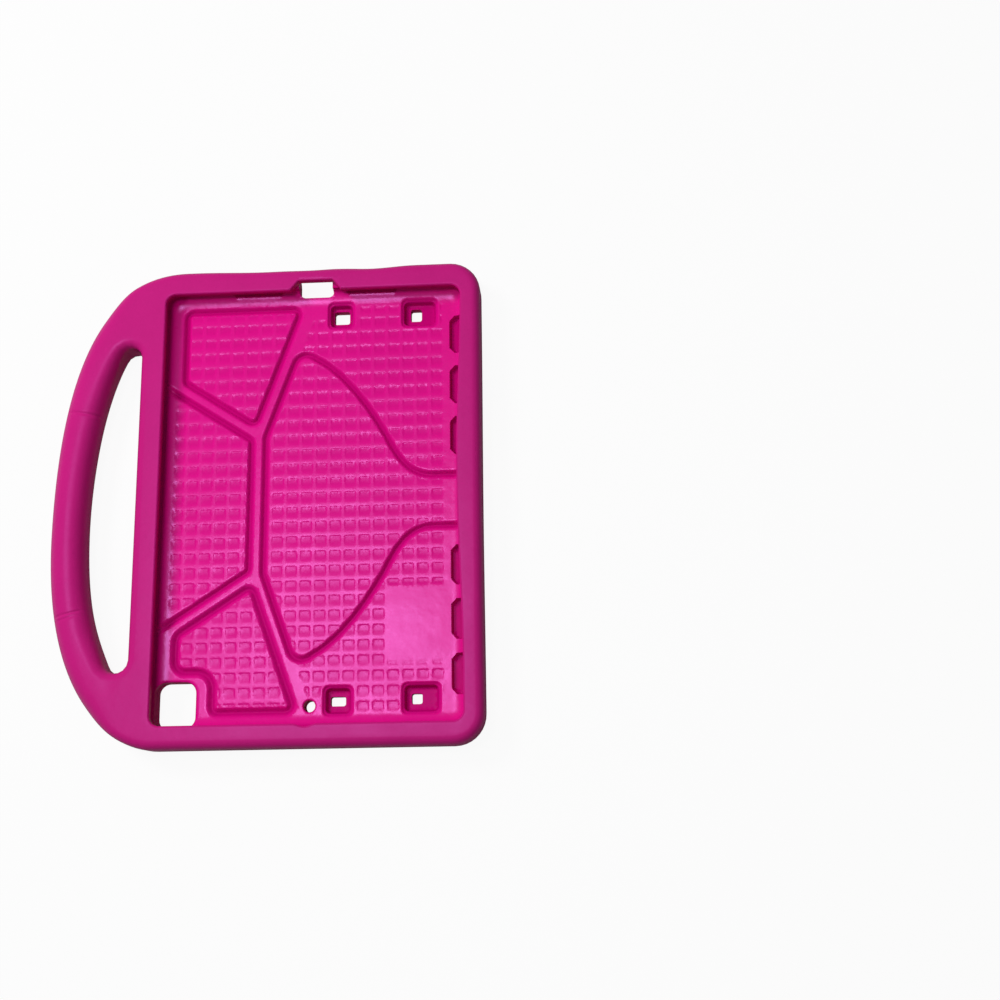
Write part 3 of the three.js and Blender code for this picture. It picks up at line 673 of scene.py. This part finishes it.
# Rows round a rounded edge: quarter ellipses at the back and the rim, wider on the grip.
# Near each of the spots the points along the line are half a millimetre apart
def roundedRows(line, other, way, spots):
    at = evenRuns(line, True, shell["step"])
    fine = np.linspace(0, measured(line, True)[1][-1], 4000, endpoint=False)
    places, _ = along(line, fine, True)
    for spot in spots:
        nearest = fine[np.argmin(np.hypot(*(places - spot).T))]
        at = np.concatenate([at[np.abs(at - nearest) > 3.4], nearest + np.arange(-3, 3.1, 0.5)])
    place, normal = along(line, np.sort(at), True)
    share = ease(shell["left"] - place[:, 0], shell["edge"], shell["edge"] + shell["run"])
    across = shell["edge"] + ((shell["grip"] - shell["crest"]) / 2 - shell["edge"]) * share
    across = np.minimum(across, (lineDistance(place, other, True) - shell["crest"]) / 2)
    height = shell["edge"] + (rimZ / 2 - shell["edge"]) * share
    rows = []
    for degrees in (90, 76, 62, 48, 34, 20, 8, 0):
        a = math.radians(degrees)
        moved = place - way * normal * (across * (1 - math.cos(a)))[:, None]
        rows.append(raised(moved, height * (1 - math.sin(a))))
    middle = [raised(place, height + (rimZ - 2 * height) * share) for share in (0.33, 0.67)]
    top = [row * (1, 1, -1) + (0, 0, rimZ) for row in rows[::-1]]
    return rows + middle + top


# The flat rim between its loops, over a grid of points that keeps clear of them
def rimSheet(loops):
    p = honeycomb(-150, 100, -138, 140, 3.6)
    flat = [loop[:, :2] for loop in loops]
    keep = insideLoops(p, flat)
    for loop in flat:
        keep[keep] &= lineDistance(p[keep], loop, True) > 1.3
    return sheet(loops, raised(p[keep], rimZ))


# Creases pressed across the handle: from, to, depth and half width
creases = [((-137.5, 54.5), (-119.5, 52), 0.55, 0.75), ((-139.4, -62.5), (-127, -59.5), 0.5, 0.6),
           ((-138.6, -65.0), (-129.5, -62.3), 0.35, 0.6)]
dimple = {"place": (-107, -100), "depth": 0.5, "width": 2.4}
pressedFrom = (8, 15)  # creases fade out down the side between these heights


# Moves points inward along their normals: bell curves over the distance to each crease
def pressed(points, faces):
    a, b, c = points[faces].transpose(1, 0, 2)
    turned = np.cross(b - a, c - a)
    normal = np.zeros_like(points)
    for k in range(3):
        np.add.at(normal, faces[:, k], turned)
    normal /= np.maximum(1e-9, np.linalg.norm(normal, axis=1))[:, None]
    flat = points[:, :2]
    depth = np.zeros(len(points))
    for start, stop, deep, width in creases:
        depth += deep * np.exp(-(lineDistance(flat, np.array([start, stop])) / width) ** 2)
    away = np.hypot(*(flat - dimple["place"]).T)
    depth += dimple["depth"] * np.exp(-(away / dimple["width"]) ** 2)
    return points - normal * (depth * ease(points[:, 2], *pressedFrom))[:, None]


# The foam's skin is never quite flat: three long sine waves, only downward, with the cube of height
def wavy(points):
    x, y, z = points.T
    wave = (np.sin(x / 13 + 1.3 * np.sin(y / 29)) + np.sin(y / 17 + x / 41 + 2)
            + 0.7 * np.sin((x - y) / 23 + 4)) / 2.7
    drop = shell["wave"] * (1 + wave) / 2 * np.clip(z / rimZ, 0, 1) ** 3
    return points - np.column_stack([drop * 0, drop * 0, drop])


# An object at the origin whose mesh holds the given points, turned to metres, and triangles
def meshObject(name, points, faces):
    mesh = bpy.data.meshes.new(name)
    mesh.from_pydata((points * 0.001).tolist(), [], faces.tolist())
    mesh.validate()
    made = bpy.data.objects.new(name, mesh)
    bpy.context.scene.collection.objects.link(made)
    return made


# A closed body through rings from the bottom up, capped at both ends
def cutter(name, rings):
    points, faces = strip(rings)
    count = len(rings[0])
    ends = []
    for first, flip in ((0, True), (len(points) - count, False)):
        flat = points[first:first + count, :2].tolist()
        cap = np.array(geometry.delaunay_2d_cdt(flat, [], [list(range(count))], 1, 1e-6)[2]) + first
        ends.append(cap[:, ::-1] if flip else cap)
    return meshObject(name, points, np.concatenate([faces] + ends))


port = {
    "x": 1.0, "half": 9.8, "relief": 3.6, "corner": 3,
    "underX": 0.3, "underHalf": 10.6, "underTop": 9.9,  # the wider cut through the back
    "mouthX": 1.7, "mouthInner": 9.8, "mouthOuter": 15,
    "bridge": 8.4,                                      # rim left outside the mouth
    "mouthRows": ((0, -5.4), (0, -1.0), (0.25, -0.4), (0.9, 0.05), (0.9, 2)),  # wider by, above rim
}


# Four bodies to cut away: the recess in the back, the tunnel in from the tablet, the opening at
# the outside and the mouth in the lip, all boxes with round corners but the mouth, which narrows
def portCutters():
    p = port
    outside = shell["top"] + 3
    bridge = shell["top"] - p["bridge"]
    reliefFrom = room["wallY"] - p["relief"]
    low = room["floorZ"] + room["marginHeight"] / 4
    tunnel = boxRing(p["x"], (floorY + outside) / 2, p["half"], (outside - floorY) / 2, 0.8, 2, 3)
    relief, under = [
        boxRing(x, (reliefFrom + outside) / 2, reach, (outside - reliefFrom) / 2, p["corner"], 2, 5)
        for x, reach in ((p["x"], p["half"] - 0.02), (p["underX"], p["underHalf"]))]

    def mouth(grow):
        outer, inner = p["mouthOuter"] + grow, p["mouthInner"] + grow * 0.7
        corners = [(-outer, lipY - 3, 0), (outer, lipY - 3, 0), (outer, lipY - 0.4, 2.0),
                   (inner, bridge + grow, 1.5), (-inner, bridge + grow, 1.5),
                   (-outer, lipY - 0.4, 2.0)]
        return rounded(corners) + (p["mouthX"], 0)

    return [
        cutter("portUnder", [raised(under, -2.5), raised(under, p["underTop"])]),
        cutter("portTunnel", [raised(tunnel, low), raised(tunnel, room["shelfZ"] - 0.01)]),
        cutter("portRelief", [raised(relief, -2), raised(relief, room["shelfZ"] - 0.02)]),
        cutter("portMouth", [raised(mouth(grow), rimZ + up) for grow, up in p["mouthRows"]]),
    ]


# Heights and distances over which the painted shade comes and goes, and the rim's own duller colour
# takes over
shade = {
    "grooves": (8.2, 9.6), "pits": (9.7, 9.98), "pitShare": 0.25, "back": (0.4, 1.6),
    "handleSide": (72, 78), "lowerEnd": (112, 118), "lowerShare": 0.7,
    "wall": (12, 15), "wallNear": (10.05, 11.2),  # it starts lower at those two sides
    "lip": (19.5, 21.5), "pastWall": 1.7,
    "rim": (20.5, 21.8), "outer": (11.2, 11.8),
}


# Painted shade: 1 down in grooves, cuts and pockets and on the wall under the lip, where shade falls,
# 0 on the open foam and a quarter in the pits; at the handle's side and the lower end it starts lower
# down the wall as a painted shadow of the lip: the greater of two eased falls with height
def paintedShadeMask(points):
    x, y, z = points.T
    out = boxDistance(points[:, :2], 0, 0, floorX, floorY, 1)
    inPit = shade["pitShare"] * (1 - ease(z, *shade["pits"]))
    deep = np.maximum(1 - ease(z, *shade["grooves"]), inPit) * ease(z, *shade["back"])
    near = np.maximum(ease(-x, *shade["handleSide"]),
                      shade["lowerShare"] * ease(-y, *shade["lowerEnd"]))
    low, high = [far + (close - far) * near for far, close in zip(shade["wall"], shade["wallNear"])]
    under = ease(z, low, high) * (1 - ease(z, *shade["lip"]))
    return (out < room["marginWidth"] + shade["pastWall"]) * np.maximum(deep, under)


# 1 on the rim and everywhere outside the pocket, 0 on the floor and under the lip
def outsideness(points):
    out = boxDistance(points[:, :2], 0, 0, floorX, floorY, 1)
    return np.maximum(ease(points[:, 2], *shade["rim"]), ease(out, *shade["outer"]))


# All the sheets and strips of the case as one closed mesh: doubled points are merged
def foamCase():
    loops, floor = floorSheet()
    print("floor:", len(floor[1]), "triangles")
    inside = wallRows(loops[0])
    spots = [np.array(end) for crease in creases[:2] for end in crease[:2]]
    outer = roundedRows(outerLine(), handLine(), 1, spots)
    hand = roundedRows(handLine(), outerLine(), -1, spots)
    wider = [raised(ring, 0) for ring in holeRings(0.5)]
    parts = [floor, strip(inside, True), strip(outer), strip(hand, True),
             rimSheet([outer[-1], inside[-1], hand[-1]])]
    for ring, below in zip(loops[1:], wider):
        under = raised(ring[:, :2], 0.5)
        parts.append(strip([ring, (ring + under) / 2, under, below]))
    parts.append(sheet([outer[0], hand[0]] + wider, [], True))
    points = np.concatenate([part[0] for part in parts])
    firsts = np.cumsum([0] + [len(part[0]) for part in parts[:-1]])
    faces = np.concatenate([part[1] + first for part, first in zip(parts, firsts)])
    _, first, same = np.unique(np.round(points, 4), axis=0, return_index=True, return_inverse=True)
    points, faces = points[first], same.reshape(-1)[faces]
    a, b, c = faces.T
    faces = faces[(a != b) & (b != c) & (c != a)]
    return wavy(pressed(points, faces)), faces


points, faces = foamCase()
edges = np.sort(np.concatenate([faces[:, [0, 1]], faces[:, [1, 2]], faces[:, [2, 0]]]), axis=1)
_, uses = np.unique(edges, axis=0, return_counts=True)
print("case:", len(points), "points,", len(faces), "triangles, open edges:", int((uses != 2).sum()))
case = meshObject("foamCase", points, faces)
for tool in portCutters():
    cut = case.modifiers.new(tool.name, "BOOLEAN")
    cut.operation, cut.object, cut.solver = "DIFFERENCE", tool, "MANIFOLD"
    graph = bpy.context.evaluated_depsgraph_get()
    cutMesh = bpy.data.meshes.new_from_object(case.evaluated_get(graph))
    case.modifiers.clear()
    case.data = cutMesh
    bpy.data.objects.remove(tool)
print("port cut:", len(case.data.polygons), "faces")
places = np.zeros(len(case.data.vertices) * 3)
case.data.vertices.foreach_get("co", places)
places = places.reshape(-1, 3) * 1000
# Masks for the material: painted shade in the hollows and under the lip, and the rim
for name, values in (("paintedShade", paintedShadeMask(places)), ("outside", outsideness(places))):
    case.data.attributes.new(name, "FLOAT", "POINT").data.foreach_set("value", values)
case.data.polygons.foreach_set("use_smooth", np.ones(len(case.data.polygons), bool))
case.data.set_sharp_from_angle(angle=math.radians(62))
weighted = case.modifiers.new("flatFacesLead", "WEIGHTED_NORMAL")
weighted.keep_sharp = True


# Foam: satin on the floor, duller on the rim, with painted shade that darkens and dulls the hollows
# and under the lip, with mottling and a fine grain
foam = {
    # The third colour is painted shade, laid on the grooves, cuts, pits and the wall under the lip
    "floor": (0.72, 0.003, 0.24, 1), "rim": (0.52, 0.012, 0.19, 1), "paintedShade": (0.5, 0.001, 0.16, 1),
    "mottling": ((38, 3, 0.22, (0.8, 0.6, 0.78, 1)),    # noise scale, detail, share and tint
                 (900, 2, 0.2, (0.78, 0.5, 0.75, 1))),
    "rough": (60, 4, 0.26, 0.32), "roughOutside": 0.1,  # noise scale, detail, least and most
    "shine": (0.85, 0.34, 1, 1),
    # The shine is mostly taken off where the painted shade lies
    "gleam": 0.5, "gleamInPaintedShade": 0.04, "gleamOutside": 0.6,
    "bumps": ((2400, 3, 0.6, 0.15, 0.00012),            # noise scale, detail, roughness, strength
              (150, 2, 0.5, 0.14, 0.0008)),             # and height in metres
}


# Two attributes blend the three colours, one of them laying painted shade into the hollows and under
# the lip, then two noises darken them and two more raise the grain
def foamMaterial():
    made = bpy.data.materials.new("pinkFoam")
    made.use_nodes = True
    nodes, links = made.node_tree.nodes, made.node_tree.links
    shader = nodes["Principled BSDF"]
    place = nodes.new("ShaderNodeTexCoord")

    def attribute(name):
        node = nodes.new("ShaderNodeAttribute")
        node.attribute_name = name
        return node.outputs["Fac"]

    def noise(scale, detail, roughness=0.5):
        node = nodes.new("ShaderNodeTexNoise")
        node.inputs["Scale"].default_value = scale
        node.inputs["Detail"].default_value = detail
        node.inputs["Roughness"].default_value = roughness
        links.new(place.outputs["Object"], node.inputs["Vector"])
        return node.outputs["Fac"]

    def mixed(kind, factor, first, second):
        node = nodes.new("ShaderNodeMix")
        node.data_type = "RGBA"
        node.blend_type = kind
        links.new(factor, node.inputs[0])
        for socket, value in ((node.inputs[6], first), (node.inputs[7], second)):
            if hasattr(value, "links"):
                links.new(value, socket)
            else:
                socket.default_value = value
        return node.outputs[2]

    def ranged(value, low, high, fromMin=0.3, fromMax=0.7):
        node = nodes.new("ShaderNodeMapRange")
        links.new(value, node.inputs["Value"])
        node.inputs["From Min"].default_value = fromMin
        node.inputs["From Max"].default_value = fromMax
        node.inputs["To Min"].default_value = low
        node.inputs["To Max"].default_value = high
        return node.outputs["Result"]

    def joined(kind, first, second):
        node = nodes.new("ShaderNodeMath")
        node.operation = kind
        links.new(first, node.inputs[0])
        links.new(second, node.inputs[1])
        return node.outputs[0]

    # The painted shade's mask and the rim's mask
    paintedShade, outside = attribute("paintedShade"), attribute("outside")
    colour = mixed("MIX", outside, foam["floor"], foam["rim"])
    colour = mixed("MIX", paintedShade, colour, foam["paintedShade"])
    for scale, detail, share, tint in foam["mottling"]:
        colour = mixed("MULTIPLY", ranged(noise(scale, detail), 0, share), colour, tint)
    links.new(colour, shader.inputs["Base Color"])
    scale, detail, least, most = foam["rough"]
    rough = joined("ADD", ranged(noise(scale, detail), least, most),
                   ranged(outside, 0, foam["roughOutside"], 0, 1))
    links.new(rough, shader.inputs["Roughness"])
    # The painted shade also takes most of the shine away
    gleam = joined("MULTIPLY", ranged(paintedShade, foam["gleam"], foam["gleamInPaintedShade"], 0, 1),
                   ranged(outside, 1, foam["gleamOutside"], 0, 1))
    links.new(gleam, shader.inputs["Specular IOR Level"])
    shader.inputs["Specular Tint"].default_value = foam["shine"]
    normal = None
    for scale, detail, roughness, strength, height in foam["bumps"]:
        bump = nodes.new("ShaderNodeBump")
        bump.inputs["Strength"].default_value = strength
        bump.inputs["Distance"].default_value = height
        links.new(noise(scale, detail, roughness), bump.inputs["Height"])
        if normal:
            links.new(normal, bump.inputs["Normal"])
        normal = bump.outputs["Normal"]
    links.new(normal, shader.inputs["Normal"])
    return made


case.data.materials.clear()
case.data.materials.append(foamMaterial())
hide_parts("case")
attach(case, "root")
print("foam dressed")


# Plain white table; a part of it glows for the camera so that it stays white round the case
table = {"half": 3.0, "z": -0.0002, "white": 0.4, "glow": 0.9, "strength": 1.04}


# A flat square, whose shader mixes matte white with the glow where a ray comes from the camera
def tableTop():
    h, z = table["half"], table["z"]
    mesh = bpy.data.meshes.new("table")
    mesh.from_pydata([(-h, -h, z), (h, -h, z), (h, h, z), (-h, h, z)], [], [(0, 1, 2, 3)])
    made = bpy.data.objects.new("table", mesh)
    bpy.context.scene.collection.objects.link(made)
    paint = bpy.data.materials.new("whiteTable")
    paint.use_nodes = True
    nodes, links = paint.node_tree.nodes, paint.node_tree.links
    nodes.clear()
    matte = nodes.new("ShaderNodeBsdfDiffuse")
    matte.inputs["Color"].default_value = (table["white"],) * 3 + (1,)
    glow = nodes.new("ShaderNodeEmission")
    glow.inputs["Strength"].default_value = table["strength"]
    path = nodes.new("ShaderNodeLightPath")
    share = nodes.new("ShaderNodeMath")
    share.operation = "MULTIPLY"
    share.inputs[1].default_value = table["glow"]
    links.new(path.outputs["Is Camera Ray"], share.inputs[0])
    mix = nodes.new("ShaderNodeMixShader")
    links.new(share.outputs[0], mix.inputs[0])
    links.new(matte.outputs[0], mix.inputs[1])
    links.new(glow.outputs[0], mix.inputs[2])
    out = nodes.new("ShaderNodeOutputMaterial")
    links.new(mix.outputs[0], out.inputs["Surface"])
    mesh.materials.append(paint)


tableTop()
print("table laid")

# Soft studio light: a wide lamp from the upper left, a smaller one overhead for the shine
lamps = [{"name": "wide", "place": (-0.75, 0.5, 1.0), "size": 0.45, "power": 12, "shine": False},
         {"name": "overhead", "place": (-0.19, 0.045, 1.25), "size": 0.3, "power": 5.8, "shine": True}]
sky = {"light": 0.16, "seen": 1}  # the world's strength on the case, and as the camera sees it


# Each lamp is a disk turned to face the origin; the world is white
def studioLight():
    for lamp in lamps:
        light = bpy.data.lights.new(lamp["name"], "AREA")
        light.shape, light.size, light.energy = "DISK", lamp["size"], lamp["power"]
        made = bpy.data.objects.new(lamp["name"], light)
        x, y, z = lamp["place"]
        made.location = lamp["place"]
        made.rotation_euler = (0, math.atan2(math.hypot(x, y), z), math.atan2(y, x))
        made.visible_glossy = lamp["shine"]
        bpy.context.scene.collection.objects.link(made)
    world = bpy.data.worlds.new("room")
    bpy.context.scene.world = world
    world.use_nodes = True
    nodes, links = world.node_tree.nodes, world.node_tree.links
    back = nodes["Background"]
    path = nodes.new("ShaderNodeLightPath")
    level = nodes.new("ShaderNodeMapRange")
    links.new(path.outputs["Is Camera Ray"], level.inputs["Value"])
    level.inputs["To Min"].default_value = sky["light"]
    level.inputs["To Max"].default_value = sky["seen"]
    back.inputs["Color"].default_value = (1, 1, 1, 1)
    links.new(level.outputs["Result"], back.inputs["Strength"])


studioLight()
print("lights set")

# The photograph's viewpoint: almost overhead, from the lower right
view = {"place": (0.14999, -0.18093, 0.76554), "turn": (13.302, 3.595, -0.841),
        "lens": 50.4, "sensor": 36, "nearest": 0.01}
camera = bpy.data.objects.new("camera", bpy.data.cameras.new("camera"))
camera.data.lens, camera.data.sensor_width = view["lens"], view["sensor"]
camera.data.clip_start = view["nearest"]
camera.location = view["place"]
camera.rotation_euler = [math.radians(degrees) for degrees in view["turn"]]
bpy.context.scene.collection.objects.link(camera)
bpy.context.scene.camera = camera
bpy.context.scene.view_settings.view_transform = "Standard"

bpy.context.view_layer.update()
